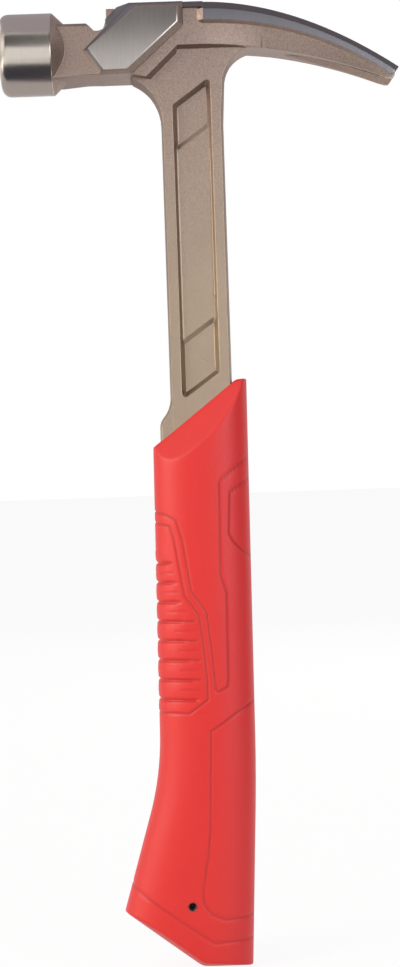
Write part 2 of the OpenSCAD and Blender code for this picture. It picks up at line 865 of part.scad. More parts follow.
module nail_set_magnet() {
    color([0.78, 0.78, 0.8]) translate([magnet_x, 0, neck_top_z - magnet_t])
        cylinder(h = magnet_t, d = magnet_d, $fn = 48);
}

// Grip

core_outline = [
    for (p = all_moved(tang_outline, core_wall))
        [p.x, min(p.y, core_top_z)]
];

module core_solid() {
    across(core_t) polygon(core_outline);
}

module locating_hole(inner, outer) {
    for (turn = [-90, 90])
        translate([-dot_x, 0, dot_z]) rotate([turn, 0, 0]) translate([0, 0, inner])
            cylinder(h = outer - inner, d = dot_d, $fn = 32);
}

module grip_core() {
    color([0.16, 0.16, 0.17]) difference() {
        core_solid();
        tang();
        locating_hole(tang_t / 2 - seam, core_t);
    }
}

// Distance below the start of the flare, rounded in over the blend
function flare(z) =
    let (u = max(0, flare_z - z))
    u < flare_blend ? u * u / (2 * flare_blend) : u - flare_blend / 2;
function lean(z) = grip_lean * (1 - z / grip_top_z);
function grip_front(z) = -grip_front_x - lean(z) - flare(z) * tan(flare_front_angle);
back_lean_share = 0.8;
function grip_back(z) = grip_back_x - lean(z) * back_lean_share - flare(z) * tan(flare_back_angle);

// Grooves between the finger ribs fade out at the ribbed panel's rear edge
rib_high_z = rib_low_z + rib_pitch * (rib_count - 1);
function rib_reach(z) =
    let (share = (z - rib_low_z) / (rib_high_z - rib_low_z))
    rib_reach_low + (rib_reach_high - rib_reach_low) * share;
function rib_mask(x, z) = max(0, min(1, (-rib_reach(z) - x) / rib_fade));

// The grip's section is a rounded oblong, whose powers square it off along and across
section_shares = [0.8, 0.72];
grip_points = 48;
function super(c, p) = sign(c) * pow(abs(c), p);
function grip_ring(z, sink) =
    let (
        front = grip_front(z),
        back = grip_back(z),
        mid = (front + back) / 2,
        half = (back - front) / 2
    )
    [
        for (i = [0:grip_points - 1])
            let (
                a = 360 * i / grip_points,
                x = mid + half * super(cos(a), section_shares[0]),
                y = grip_t / 2 * super(sin(a), section_shares[1]),
                d = sink * rib_mask(x, z)
            )
            [x - d * cos(a), y - d * sin(a), z]
    ];

module grip_solid() {
    low_stations = [for (k = [0:12]) rib_low_z * (k - 0.5) / 12 - rib_pitch];
    high_start = rib_high_z + rib_pitch;
    high_stations = [for (k = [0:5]) high_start + (grip_top_z + over - high_start) * k / 5];
    // Four stations for each groove: its lower edge, its bottom, its upper edge and the rib above it
    groove_share = rib_groove_w / rib_pitch / 2;
    rib_shares = [-groove_share, 0, groove_share, 0.5];
    sinks = [0, rib_depth, 0, -rib_swell];
    rib_stations = [
        for (k = [0:rib_count - 1], e = [0:3])
            [rib_low_z + rib_pitch * (k + rib_shares[e]), sinks[e]]
    ];
    loft(concat(
        [for (z = low_stations) grip_ring(z, 0)],
        [grip_ring(rib_low_z - rib_pitch / 2, -rib_swell)],
        [for (r = rib_stations) grip_ring(r[0], r[1])],
        [for (z = high_stations) grip_ring(z, 0)]
    ));
}

// Block that removes all on the upper left of a line through a point, with a given slope
module above_line(x, z, angle, size) {
    translate([x, 0, z]) rotate([0, -angle, 0]) translate([-size, -size / 2, 0])
        cube([2 * size, size, size]);
}

module grip_shape() {
    size = overall_l;
    top_x = grip_peak_x;
    difference() {
        grip_solid();
        above_line(top_x, grip_top_z, grip_top_angle, size);
        above_line(0, grip_top_z, 0, size);
        // Flat facets, tilted outwards from the slanted edge
        for (flip = [0, 1]) mirror([0, flip, 0])
            translate([top_x, shank_t / 2, grip_top_z]) rotate([0, -grip_top_angle, 0])
                rotate([-atan2(facet_w, grip_t / 2 - shank_t / 2), 0, 0])
                    translate([-size, -size / 4, 0]) cube([2 * size, size, size]);
    }
}

// Everything above a crowned plane through the front end of the butt's foot
module crowned(angle) {
    size = overall_l;
    translate([-foot_front_x, 0, 0]) rotate([0, angle, 0]) translate([0, 0, butt_dome_r]) {
        rotate([0, 90, 0]) cylinder(h = 2 * size, r = butt_dome_r, center = true, $fn = 96);
        translate([-size, -butt_dome_r, 0]) cube([2 * size, 2 * butt_dome_r, 2 * size]);
    }
}

module grip_blank() {
    intersection() {
        grip_shape();
        crowned(0);
        crowned(butt_angle);
    }
}

// The sleeve meets the collar only where it has its full width
module collar_bore() {
    bore_outline = [
        [0, collar_low_z],
        [0, grip_top_z],
        [-collar_x, grip_top_z],
        [-collar_x, collar_low_z]
    ];
    drafted(bore_outline, [0, 0, 1, 0], seam);
}

module grip_sleeve() {
    color([0.86, 0.22, 0.2]) difference() {
        grip_blank();
        core_solid();
        tang();
        collar_bore();
        drafted(shank_outline, shank_draft_shares);
        locating_hole(core_t / 2 - seam, grip_t);
    }
}

translate([centre_x, 0, 0]) {
    hammer_forging();
    nail_set_magnet();
    grip_core();
    grip_sleeve();
}
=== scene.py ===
from math import cos, pi, radians, sin, tan

import bmesh
import bpy
import numpy as np
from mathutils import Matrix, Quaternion, Vector, geometry


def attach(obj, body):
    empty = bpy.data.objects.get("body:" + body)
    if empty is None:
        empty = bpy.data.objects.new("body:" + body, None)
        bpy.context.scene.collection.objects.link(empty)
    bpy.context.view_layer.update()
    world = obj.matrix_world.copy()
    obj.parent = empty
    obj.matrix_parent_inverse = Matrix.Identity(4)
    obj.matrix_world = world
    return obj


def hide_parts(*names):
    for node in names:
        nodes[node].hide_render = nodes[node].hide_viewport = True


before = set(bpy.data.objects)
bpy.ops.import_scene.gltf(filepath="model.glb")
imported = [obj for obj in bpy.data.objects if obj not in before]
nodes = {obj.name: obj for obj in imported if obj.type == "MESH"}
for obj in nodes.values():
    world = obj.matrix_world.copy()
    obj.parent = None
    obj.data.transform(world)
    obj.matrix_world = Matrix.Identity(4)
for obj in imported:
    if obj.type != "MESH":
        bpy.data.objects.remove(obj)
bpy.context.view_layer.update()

mm = 0.001
shankX = -3.0  # the shank's centre line, in mm from the middle of the box
white = (1, 1, 1)
nearZero = 1e-6


# Shader helpers: a wrapped socket, so that shader maths reads as plain expressions

class Wire:
    def __init__(self, tree, socket):
        self.tree = tree
        self.socket = socket

    def maths(self, operation, *others, clamp=False):
        node = self.tree.nodes.new("ShaderNodeMath")
        node.operation = operation
        node.use_clamp = clamp
        for place, value in enumerate((self,) + others):
            plug(self.tree, node.inputs[place], value)
        return Wire(self.tree, node.outputs[0])

    def __add__(self, other):
        return self.maths("ADD", other)

    def __radd__(self, other):
        return self.maths("ADD", other)

    def __sub__(self, other):
        return self.maths("SUBTRACT", other)

    def __rsub__(self, other):
        return -self + other

    def __neg__(self):
        return self.maths("MULTIPLY", -1)

    def __mul__(self, other):
        return self.maths("MULTIPLY", other)

    def __rmul__(self, other):
        return self.maths("MULTIPLY", other)

    def __truediv__(self, other):
        return self.maths("DIVIDE", other)

    def above(self, edge, blur):
        return ((self - edge) / blur + 0.5).maths("ADD", 0, clamp=True)

    def below(self, edge, blur):
        return 1 - self.above(edge, blur)


def plug(tree, place, value):
    if isinstance(value, Wire):
        tree.links.new(value.socket, place)
    elif place.type == "RGBA" and len(value) == 3:
        place.default_value = (*value, 1)
    else:
        place.default_value = value


class Nodes:
    def __init__(self, tree):
        self.tree = tree

    def node(self, kind, settings, inputs, output=0):
        node = self.tree.nodes.new(kind)
        for key, value in settings.items():
            setattr(node, key, value)
        for key, value in inputs.items():
            plug(self.tree, node.inputs[key], value)
        return Wire(self.tree, node.outputs[output])

    # 1 where the camera, a reflection or clear material looks at the surface, and 0 for light
    def looked(self):
        seen = self.node("ShaderNodeLightPath", {}, {}, "Is Camera Ray")
        rays = seen.socket.node.outputs
        for kind in ("Is Glossy Ray", "Is Transmission Ray"):
            seen = seen.maths("MAXIMUM", Wire(self.tree, rays[kind]))
        return seen

    def show(self, output, shader):
        self.tree.links.new(shader.socket, self.tree.nodes[output].inputs["Surface"])

    def showMixed(self, output, share, first, second):
        self.show(output, self.node("ShaderNodeMixShader", {}, {0: share, 1: first, 2: second}))


class Finish(Nodes):
    def __init__(self, name):
        self.material = bpy.data.materials.new(name)
        self.material.use_nodes = True
        super().__init__(self.material.node_tree)
        self.shader = self.tree.nodes["Principled BSDF"]

    def place(self):
        return self.node("ShaderNodeTexCoord", {}, {}, "Object")

    def axis(self, name):
        return self.node("ShaderNodeSeparateXYZ", {}, {"Vector": self.place()}, name)

    def noise(self, size, detail=3, rough=0.5, scale=(1, 1, 1)):
        inputs = {"Vector": self.place(), "Scale": scale}
        spot = self.node("ShaderNodeMapping", {"vector_type": "POINT"}, inputs)
        inputs = {"Vector": spot, "Scale": size, "Detail": detail, "Roughness": rough}
        return self.node("ShaderNodeTexNoise", {"noise_dimensions": "3D"}, inputs, "Fac")

    def blend(self, share, first, second):
        return self.node("ShaderNodeMix", {"data_type": "RGBA"}, {0: share, 6: first, 7: second}, 2)

    def bump(self, height, depth, normal=None):
        inputs = {"Height": height, "Strength": 1.0, "Distance": depth}
        if normal:
            inputs["Normal"] = normal
        return self.node("ShaderNodeBump", {}, inputs)

    def soften(self, radius):
        return self.node("ShaderNodeBevel", {"samples": 6}, {"Radius": radius})

    def finish(self, sockets):
        for key, value in sockets.items():
            plug(self.tree, self.shader.inputs[key], value)
        return self.material


def srgb(*levels):
    return tuple(((c / 255 + 0.055) / 1.055) ** 2.4 if c > 10 else c / 255 / 12.92 for c in levels)


def toned(colour, share):
    return tuple(c * share for c in colour)


# Camera

cameraSet = {"spot": (-0.0046, -0.690, 0.1758), "lens": 46.79, "sensor": 24, "roll": -1.93}


def makeCamera(s):
    data = bpy.data.cameras.new("camera")
    data.sensor_fit = "VERTICAL"
    data.sensor_height = s["sensor"]
    data.lens = s["lens"]
    camera = bpy.data.objects.new("camera", data)
    bpy.context.collection.objects.link(camera)
    camera.location = s["spot"]
    camera.rotation_mode = "QUATERNION"
    roll = Quaternion((0, 0, 1), radians(s["roll"]))
    camera.rotation_quaternion = Quaternion((1, 0, 0), radians(90)) @ roll
    bpy.context.scene.camera = camera


bpy.context.scene.view_settings.view_transform = "Standard"
makeCamera(cameraSet)
print("camera placed")

# Studio: a white floor and backdrop, three soft lamps, and cards that only reflections see

level, upright, sideways = (0, 0, 0), (90, 0, 0), (0, 90, 0)

studioSet = {
    "world": 0.52,
    "floor": (0.86, 0.86, 0.86),
    "floorRough": 0.9,
    "floorSize": 60,
    "floorDrop": 0.2 * mm,
    "floorWhite": 0.9,
    "aim": (0, 0, 0.2),
    "lamps": {
        "keyLamp": {"spot": (-1.15, -0.75, 0.75), "size": 0.9, "power": 15.5, "tint": (1.0, 0.95, 0.88)},
        "fillLamp": {"spot": (0.75, -1.15, 0.45), "size": 0.8, "power": 6.5, "tint": (0.90, 0.92, 1.0)},
        "backLamp": {"spot": (0.4, 1.2, 0.9), "size": 0.9, "power": 7.0, "tint": (1.0, 0.98, 0.95)},
    },
    # Each card: its middle, its turn in degrees, its size and its shade
    "cards": {
        "bellLowCard": ((-0.13, -0.077, 0.235), level, (0.18, 0.126), (0.05, 0.05, 0.065)),
        "bellHighCard": ((-0.239, -0.36, 0.5575), upright, (0.322, 0.325), (0.03, 0.03, 0.04)),
        "lowCard": ((0.17, -0.55, 0.02), level, (0.46, 0.7), (0.04, 0.04, 0.04)),
        "highCard": ((0.203, -0.36, 0.628), upright, (0.534, 0.354), (0.03, 0.03, 0.035)),
        "topCard": ((0.02, 0.12, 0.86), level, (1.1, 1.1), (0.42, 0.385, 0.43)),
        "backCard": ((0.02, 0.62, 0.56), upright, (1.1, 0.60), (0.42, 0.37, 0.39)),
        "underCard": ((-0.2125, 0.246, 0.235), level, (0.335, 0.52), (0.50, 0.46, 0.47)),
        "leftCard": ((-0.62, -0.20, 0.24), sideways, (0.56, 0.6), (1.9, 1.8, 1.6)),
        "faceCard": ((-0.20, -0.14, 0.40), sideways, (0.2, 0.30), (0.45, 0.42, 0.42)),
        "rightCard": ((0.62, -0.10, 0.30), sideways, (0.6, 0.7), (0.08, 0.08, 0.08)),
    },
}


def makeWorld(s):
    world = bpy.data.worlds.new("studio")
    bpy.context.scene.world = world
    world.use_nodes = True
    n = Nodes(world.node_tree)
    light = n.node("ShaderNodeBackground", {}, {"Color": white, "Strength": s["world"]})
    backdrop = n.node("ShaderNodeBackground", {}, {"Color": white})
    n.showMixed("World Output", n.looked(), light, backdrop)


def makeFloor(s):
    bpy.ops.mesh.primitive_plane_add(size=s["floorSize"], location=(0, 0, -s["floorDrop"]))
    floor = bpy.context.object
    floor.name = "floor"
    f = Finish("floorPaper")
    f.finish({"Base Color": s["floor"], "Roughness": s["floorRough"]})
    glow = f.node("ShaderNodeEmission", {}, {"Color": white})
    f.showMixed("Material Output", f.looked() * s["floorWhite"], Wire(f.tree, f.shader.outputs[0]), glow)
    floor.data.materials.append(f.material)


def makeLamp(name, lamp, aim):
    data = bpy.data.lights.new(name, "AREA")
    data.shape = "DISK"
    data.size = lamp["size"]
    data.energy = lamp["power"]
    data.color = lamp["tint"]
    made = bpy.data.objects.new(name, data)
    bpy.context.collection.objects.link(made)
    made.location = lamp["spot"]
    made.rotation_euler = (Vector(aim) - made.location).to_track_quat("-Z", "Y").to_euler()


def makeCard(name, middle, turn, size, shade):
    bpy.ops.mesh.primitive_plane_add(size=1, location=middle)
    card = bpy.context.object
    card.name = name
    card.scale = (*size, 1)
    card.rotation_euler = [radians(angle) for angle in turn]
    card.visible_camera = False
    card.visible_diffuse = False
    card.visible_shadow = False
    card.visible_transmission = False
    f = Finish(name)
    f.show("Material Output", f.node("ShaderNodeEmission", {}, {"Color": shade}))
    card.data.materials.append(f.material)


makeWorld(studioSet)
makeFloor(studioSet)
for name, lamp in studioSet["lamps"].items():
    makeLamp(name, lamp, studioSet["aim"])
for name, card in studioSet["cards"].items():
    makeCard(name, *card)
print("studio ready")

# Steel finishes, numbered by their slots on the forging

blasted, turned, brushed, strip, bevel = range(5)

blastedSet = {
    "pale": srgb(184, 163, 151),
    "dark": srgb(140, 123, 113),
    "olive": srgb(171, 153, 131),
    "oliveTop": 0.285,
    "oliveBlur": 0.09,
    "oliveShare": 0.8,
    "grain": 1500,
    "grainRough": 0.65,
    "grainBlur": 0.5,
    "pits": 0.06 * mm,
    "patch": 45,
    "patchAt": 0.55,
    "patchBlur": 0.5,
    "patchShare": 0.25,
    "rough": 0.36,
    "roughRange": 0.10,
}

polishedSet = {
    "roundness": 0.35 * mm,
    "lineDetail": 4,
    "lineRough": 0.7,
    "lineBlur": 0.6,
    "lineDark": 0.72,
    "scratch": 0.009 * mm,
    "cloud": 60,
    "cloudDetail": 2,
    "lineRange": 0.10,
    "cloudRange": 0.06,
    "steels": {
        "bellSteel": {
            "colour": srgb(218, 209, 199), "rough": 0.15, "streak": (2600, 90, 90), "contrast": 0.25,
        },
        "cheekSteel": {
            "colour": srgb(196, 189, 184), "rough": 0.26, "streak": (2600, 2600, 120), "contrast": 0.7,
            "crownAt": 0.3315, "crownBend": 5.0,
        },
        "stripSteel": {
            "colour": srgb(128, 126, 130), "rough": 0.28, "streak": (1700, 1700, 300), "contrast": 0.5,
        },
        "edgeSteel": {
            "colour": srgb(120, 114, 116), "rough": 0.30, "streak": (900, 900, 900), "contrast": 0.3,
        },
    },
}


def blastedSteel(s, roundness):
    f = Finish("blastedSteel")
    grain = f.noise(s["grain"], rough=s["grainRough"])
    patch = f.noise(s["patch"])
    colour = f.blend(grain.above(0.5, s["grainBlur"]), s["dark"], s["pale"])
    low = f.axis("Z").below(s["oliveTop"], s["oliveBlur"])
    colour = f.blend(low * s["oliveShare"], colour, s["olive"])
    colour = f.blend(patch.above(s["patchAt"], s["patchBlur"]) * s["patchShare"], colour, s["dark"])
    return f.finish({
        "Base Color": colour,
        "Metallic": 1.0,
        "Roughness": patch * s["roughRange"] + grain * s["roughRange"] + s["rough"],
        "Normal": f.bump(grain, s["pits"], f.soften(roundness)),
    })


# The crown bends the reflections of a flat cheek, as a slight curve of the steel would
def polishedSteel(name, steel, s):
    f = Finish(name)
    line = f.noise(1, s["lineDetail"], s["lineRough"], steel["streak"])
    cloud = f.noise(s["cloud"], s["cloudDetail"])
    dark = toned(steel["colour"], s["lineDark"])
    normal = f.soften(s["roundness"])
    if "crownAt" in steel:
        rise = f.axis("Z") - steel["crownAt"]
        normal = f.bump(rise * rise * -steel["crownBend"], 1.0, normal)
    return f.finish({
        "Base Color": f.blend(line.above(0.5, s["lineBlur"]) * steel["contrast"], steel["colour"], dark),
        "Metallic": 1.0,
        "Roughness": line * s["lineRange"] + cloud * s["cloudRange"] + steel["rough"],
        "Normal": f.bump(line, s["scratch"], normal),
    })


steels = [blastedSteel(blastedSet, polishedSet["roundness"])]
steels += [polishedSteel(name, steel, polishedSet) for name, steel in polishedSet["steels"].items()]
print("steel finishes ready")

# Forging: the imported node's own shape, welded and rounded, with a finish for each of its surfaces

forgingSet = {
    # Cleaning and the widths of the rounded edges
    "weld": 0.012 * mm,
    "seam": 0.001 * mm,
    "flat": 0.02,
    "smooth": 14,
    "edge": 0.2 * mm,
    "cheekEdge": 0.36 * mm,
    "hollowEdge": 0.42 * mm,
    # Boxes of x from the shank's centre line and z where inner corners are rounded, and the least
    # length of such a corner, all in mm
    "hollows": ((-11.0, 11.0, 212.0, 318.0), (-46.0, -33.0, 314.0, 333.0)),
    "hollowRun": 3.0,
    "hollowSlant": 0.6,
    # Where rounding stops short of a corner or leaves an edge alone
    "tiny": 0.42 * mm,
    "stopShort": 0.7 * mm,
    "narrow": 40,
    "narrowFlat": 15,
    "flatCorners": 5,
    "cornerReach": 2.2,
    "leastTurn": 0.05,
    "mostCut": 0.85,
    "roomy": 1.6,
    # Folded facets that rounding leaves, in degrees and square metres, and its room from them
    "fold": 130,
    "merges": 4,
    "sliver": 1e-10,
    "foldReach": 0.9 * mm,
    "foldClear": 1.5 * mm,
    "attempts": 6,
    # Edges that stay crisp in the shading
    "longEdge": 9 * mm,
    "shankTop": 302 * mm,
    "longTurn": 0.5,
    "plainCorners": 8,
    "clawStart": 17.0 * mm,
    "level": 0.3,
    "spread": 3,
    "evenWeight": 80,
}

# Borders of the finishes, in mm, with x from the shank's centre line, and parts of a facet's normal
zoneSet = {
    "neckRoot": -50.0,
    "bellRear": -45.6,
    "coneEnd": -44.9,
    "coneTurn": 0.3,
    "rootTurn": 0.15,
    "grooveHalf": 2.6,
    "grooveLow": 342.8,
    "grooveTurn": 0.5,
    "cheekEnds": (-38.0, -3.9),
    "cheekSide": 10.9,
    "cheekTurn": 0.96,
    "crestEnd": -18,
    "crestTurn": (-0.45, 0.4),
    "wallTurn": -0.2,
    "top": 347.0,
    "topTurn": 0.5,
    "stripStart": 2.6,
    "stripLow": 316,
    "stripTurn": 0.9,
    "stripInset": 0.15,
    "clawTurn": (-0.6, 0.35),
    "bevelTurn": 0.2,
    "clawRoot": 4,
    "clawRun": 71.4,
    "clawWidth": 23,
    "clawTaper": 4.2,
}


def steelZone(x, y, z, n, s):
    side = abs(y)
    if s["neckRoot"] < x < s["bellRear"] and abs(n.x) < s["rootTurn"]:
        return blasted
    if x < s["bellRear"] or (x < s["coneEnd"] and n.x > s["coneTurn"]):
        groove = side < s["grooveHalf"] and z > s["grooveLow"] and abs(n.x) < s["grooveTurn"]
        return blasted if groove or n.x > s["coneTurn"] else turned
    if s["cheekEnds"][0] < x < s["cheekEnds"][1]:
        if x < s["crestEnd"] and n.x < s["crestTurn"][0] and n.z > s["crestTurn"][1]:
            return strip
        if side > s["cheekSide"]:
            if abs(n.y) > s["cheekTurn"]:
                return brushed
            return strip if x < s["crestEnd"] and n.x < s["wallTurn"] else blasted
    elif x > s["stripStart"] and z > s["stripLow"]:
        half = (s["clawWidth"] - s["clawTaper"] * (x - s["clawRoot"]) / s["clawRun"]) / 2
        if side > half - s["stripInset"] and abs(n.y) > s["stripTurn"]:
            return strip
        if n.x > s["clawTurn"][0] and n.z > s["clawTurn"][1]:
            return bevel if abs(n.y) > s["bevelTurn"] else strip
    return strip if z > s["top"] and n.z > s["topTurn"] else blasted


# Ends of the edges where the triangulated mesh folds back on itself
def foldSpots(bm, s):
    spots = []
    cut = bm.copy()
    bmesh.ops.triangulate(cut, faces=cut.faces)
    cut.normal_update()
    for edge in cut.edges:
        if folded(edge, s) and min(face.calc_area() for face in edge.link_faces) > s["sliver"]:
            spots += [v.co.copy() for v in edge.verts]
    cut.free()
    return spots


def folded(edge, s):
    return len(edge.link_faces) == 2 and edge.calc_face_angle(0) > radians(s["fold"])


def mergeSlivers(bm, s):
    for turn in range(s["merges"]):
        bm.normal_update()
        picked, used = [], set()
        for edge in bm.edges:
            if folded(edge, s) and not used.intersection(edge.link_faces):
                picked.append(edge)
                used.update(edge.link_faces)
        if not picked:
            break
        bmesh.ops.dissolve_edges(bm, edges=picked, use_verts=False)
    bm.normal_update()


# How far from an end of an edge its rounding has to stop
def clearance(edge, end, spots, s):
    need = 0.0
    along = edge.other_vert(end).co - end.co
    length = along.length
    for other in end.link_edges:
        if other is edge:
            continue
        if other.calc_length() < s["tiny"]:
            need = max(need, s["stopShort"])
        turn = along.angle(other.other_vert(end).co - end.co, 0)
        plain = max((len(face.verts) for face in other.link_faces), default=0) > s["flatCorners"]
        limit = s["narrow"] if not other.smooth else s["narrowFlat"] * plain
        if turn < radians(limit):
            need = max(need, s["cornerReach"] * s["edge"] / tan(max(turn, s["leastTurn"])))
    for spot in spots:
        run = (spot - end.co).dot(along) / length
        if run < length / 2:
            need = max(need, run + s["foldClear"])
    return need


# The parts of the edges that can be rounded, cut off clear of narrow corners and of known folds
def clearOfCorners(bm, edges, folds, s):
    kept = []
    for edge in edges:
        a, b = (v.co for v in edge.verts)
        length = (b - a).length
        if length < s["tiny"]:
            continue
        near = [(spot, geometry.intersect_point_line(spot, a, b)) for spot in folds]
        near = [spot for spot, (foot, share) in near if (spot - foot).length < s["foldReach"]
                and -s["foldReach"] < share * length < length + s["foldReach"]]
        ends = [(end, clearance(edge, end, near, s)) for end in edge.verts]
        if sum(need for end, need in ends) > s["mostCut"] * length:
            continue
        for end, need in ends:
            if need > 0:
                piece, cut = bmesh.utils.edge_split(edge, end, need / edge.calc_length())
                if end in edge.verts:
                    edge = piece
        kept.append(edge)
    return kept


def roomyEdge(edge, s):
    width = s["roomy"] * s["edge"]
    length = max(edge.calc_length(), nearZero)
    return all(face.calc_area() / length >= width for face in edge.link_faces)


def onCheek(edge):
    return any(face.material_index == brushed for face in edge.link_faces)


def inHollow(edge, s):
    a, b = (v.co / mm for v in edge.verts)
    length = (b - a).length
    if len(edge.link_faces) != 2 or length < s["hollowRun"]:
        return False
    if abs(b.x - a.x) > s["hollowSlant"] * length:
        return False
    for left, right, low, high in s["hollows"]:
        if all(left < p.x - shankX < right and low < p.z < high for p in (a, b)):
            return True
    return False


def roundEdges(bm, edges, width, folds, made, s):
    free = [edge for edge in edges if not made.intersection(edge.link_faces)]
    rounded = clearOfCorners(bm, free, folds, s)
    for edge in rounded:
        edge.smooth = True
    result = bmesh.ops.bevel(
        bm, geom=rounded, offset=width, offset_type="OFFSET", segments=2, profile=0.5,
        affect="EDGES", clamp_overlap=False, material=-1, loop_slide=True,
    )
    made.update(result["faces"])
    made.intersection_update(bm.faces)


def roundForging(bm, folds, s):
    made = set()
    sharp = [e for e in bm.edges if not e.smooth and e.is_convex and roomyEdge(e, s)]
    roundEdges(bm, [e for e in sharp if onCheek(e)], s["cheekEdge"], folds, made, s)
    sharp = [e for e in bm.edges if not e.smooth and e.is_convex and roomyEdge(e, s)]
    roundEdges(bm, sharp, s["edge"], folds, made, s)
    sharp = [e for e in bm.edges if not e.smooth and not e.is_convex and inHollow(e, s)]
    roundEdges(bm, sharp, s["hollowEdge"], folds, made, s)
    return made


def cleanForging(mesh, s):
    bm = bmesh.new()
    bm.from_mesh(mesh)
    bmesh.ops.remove_doubles(bm, verts=bm.verts, dist=s["weld"])
    mergeSlivers(bm, s)
    bmesh.ops.dissolve_limit(bm, angle_limit=radians(s["flat"]), verts=bm.verts, edges=bm.edges)
    bm.normal_update()
    for face in bm.faces:
        middle = face.calc_center_median() / mm
        face.material_index = steelZone(middle.x - shankX, middle.y, middle.z, face.normal, zoneSet)
        face.smooth = True
    for edge in bm.edges:
        if edge.calc_face_angle(0) > radians(s["smooth"]):
            edge.smooth = False
    mergeSlivers(bm, s)
    return bm


# Large flat facets and the shank's long edges keep crisp borders, so that their shading stays level
def keepCrisp(bm, made, s):
    for edge in bm.edges:
        if edge.calc_length() > s["longEdge"] and max(v.co.z for v in edge.verts) < s["shankTop"]:
            bent = edge.calc_face_angle(0) > radians(s["longTurn"])
            if bent and not made.intersection(edge.link_faces):
                edge.smooth = False
    flats = {face for face in bm.faces if len(face.verts) > s["plainCorners"]
             and face.calc_center_median().x < s["clawStart"]}
    nearLevel = [edge for edge in bm.edges if edge.calc_face_angle(pi) < radians(s["level"])]
    for turn in range(s["spread"]):
        joining = [edge for edge in nearLevel if flats.intersection(edge.link_faces)]
        flats |= {face for edge in joining for face in edge.link_faces}
    for face in flats:
        for edge in face.edges:
            edge.smooth = False


def makeForging(s):
    mesh = nodes["hammer_forging"].data.copy()
    mesh.name = "forgedSteel"
    mesh.materials.clear()
    for steel in steels:
        mesh.materials.append(steel)
    base, folds = cleanForging(mesh, s), []
    for attempt in range(s["attempts"]):
        bm = base.copy()
        made = roundForging(bm, folds, s)
        fresh = foldSpots(bm, s)
        print("rounding", attempt, "folds", len(fresh))
        if not fresh or attempt == s["attempts"] - 1:
            break
        folds += fresh
        bm.free()
    base.free()
    bmesh.ops.remove_doubles(bm, verts=bm.verts, dist=s["seam"])
    bm.normal_update()
    made.intersection_update(bm.faces)
    keepCrisp(bm, made, s)
    bm.to_mesh(mesh)
    bm.free()
    forging = bpy.data.objects.new("forgedSteel", mesh)
    bpy.context.collection.objects.link(forging)
    even = forging.modifiers.new("even", "WEIGHTED_NORMAL")
    even.keep_sharp = True
    even.weight = s["evenWeight"]
    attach(forging, "root")
    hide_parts("hammer_forging")


makeForging(forgingSet)
print("forging dressed")

# Grip sleeve: rings up the handle, with the finger ribs, the line work and both ends in the mesh

sleeveSet = {
    # The oval section, the lean of the handle and the flare of its foot
    "frontX": 18.0, "backX": 16.6, "halfDepth": 17.5, "thick": 28.0, "lean": 2.2, "backLean": 0.8,
    "bowX": 0.8, "bowY": 0.72,
    "flareZ": 85.0, "flareBlend": 30.0, "flareFront": 16.0, "flareBack": 2.3,
    # The slanted top, with its side facets, and the domed butt
    "topZ": 213.4, "peakX": 12.6, "topAngle": 38.0, "facetWidth": 10.0, "steelThick": 13.0,
    "facetBlend": 0.5, "endBlend": 0.8,
    "footX": -6.6, "domeR": 28.0, "buttAngle": 37.0,
    "firstTop": 200.0, "firstLow": 10.0, "endTurns": 30,
    # Finger ribs and line work
    "ribLow": 98.2, "ribPitch": 7.04, "ribs": 8, "ribDepth": 0.42, "ribWidth": 1.5, "ribSwell": 0.12,
    "ribReachHigh": 12.6, "ribReachLow": 2.8, "ribFade": 3.0, "ribEndShare": 0.62,
    "grooveShare": 0.62, "swellShare": 0.3,
    "lineDepth": 0.42, "lineWidth": 0.34, "lineShade": 0.6, "cutFrontX": -40.0, "cutRun": 6.5,
    "frontSide": -10, "sideBlend": 4,
    # Rows and columns of the mesh
    "columns": 240, "angleSteps": 20000, "fineStep": 0.42, "coarseStep": 1.0,
    "lowRow": -1.0, "plainRows": (42.0, 86.0),
    "fineTo": 168.0, "highRows": 2, "capRings": 22,
    # The locating hole, the bore round the steel and the line on which the butt's rings close
    "holeX": -9.3, "holeZ": 24.1, "holeR": 1.4, "holeDepth": 3.0, "ringIn": 0.45, "ringOut": 0.4,
    "bore": (-2.05, 13.5, 6.55), "boreBow": 0.16, "socketZ": 150.0, "heart": (-6.0, 6.0),
    # Closing of doubled points, and easing of the moulded edges above and below two heights
    "close": 0.004 * mm, "easeAngle": 28, "easeAbove": 184, "easeBelow": 36, "easeGrow": 2,
    "easeTurns": 4, "easeShare": 0.5, "holeKeep": 3, "holeSide": 10,
}

# Line work, each a run of (x from the shank's centre line, z) in mm on both sides
gripLines = {
    "ribPanelOuter": [
        (-19.6, 166.6), (-16.3, 165.5), (-10.6, 162.6), (-8.6, 155.7), (-6.0, 137.3), (-0.8, 129.3),
        (0.6, 116.6), (1.4, 105.8), (1.7, 101.3), (2.7, 100.8), (5.9, 102.5), (6.4, 104.9),
        (6.6, 115.7), (6.8, 136.0), (4.8, 142.5), (5.4, 176.3), (15.2, 184.2), (17.5, 186.1),
    ],
    "ribPanelInner": [
        (-20.5, 163.0), (-18.0, 162.1), (-13.3, 160.5), (-11.6, 155.8), (-8.4, 135.5), (-3.6, 128.5),
        (-2.4, 118.8), (-1.3, 105.1), (-1.3, 98.1), (-8.0, 93.3), (-21.0, 93.5),
    ],
    "backPanel": [
        (17.5, 178.6), (15.0, 176.6), (9.2, 172.2), (8.4, 157.4), (9.9, 154.7), (14.9, 149.4),
        (17.5, 147.0),
    ],
    "lowPanel": [
        (17.5, 98.6), (12.9, 95.4), (-0.5, 86.7), (-1.9, 51.7), (-3.0, 41.3), (-5.3, 30.2), (-5.1, 24.8),
        (-2.5, 21.0), (3.0, 18.6), (8.6, 19.0), (17.0, 19.4),
    ],
    "buttLine": [(-32.0, 31.9), (-28.8, 29.5), (-17.7, 21.8), (-1.6, 10.5), (10.1, 10.7), (17.0, 10.9)],
}

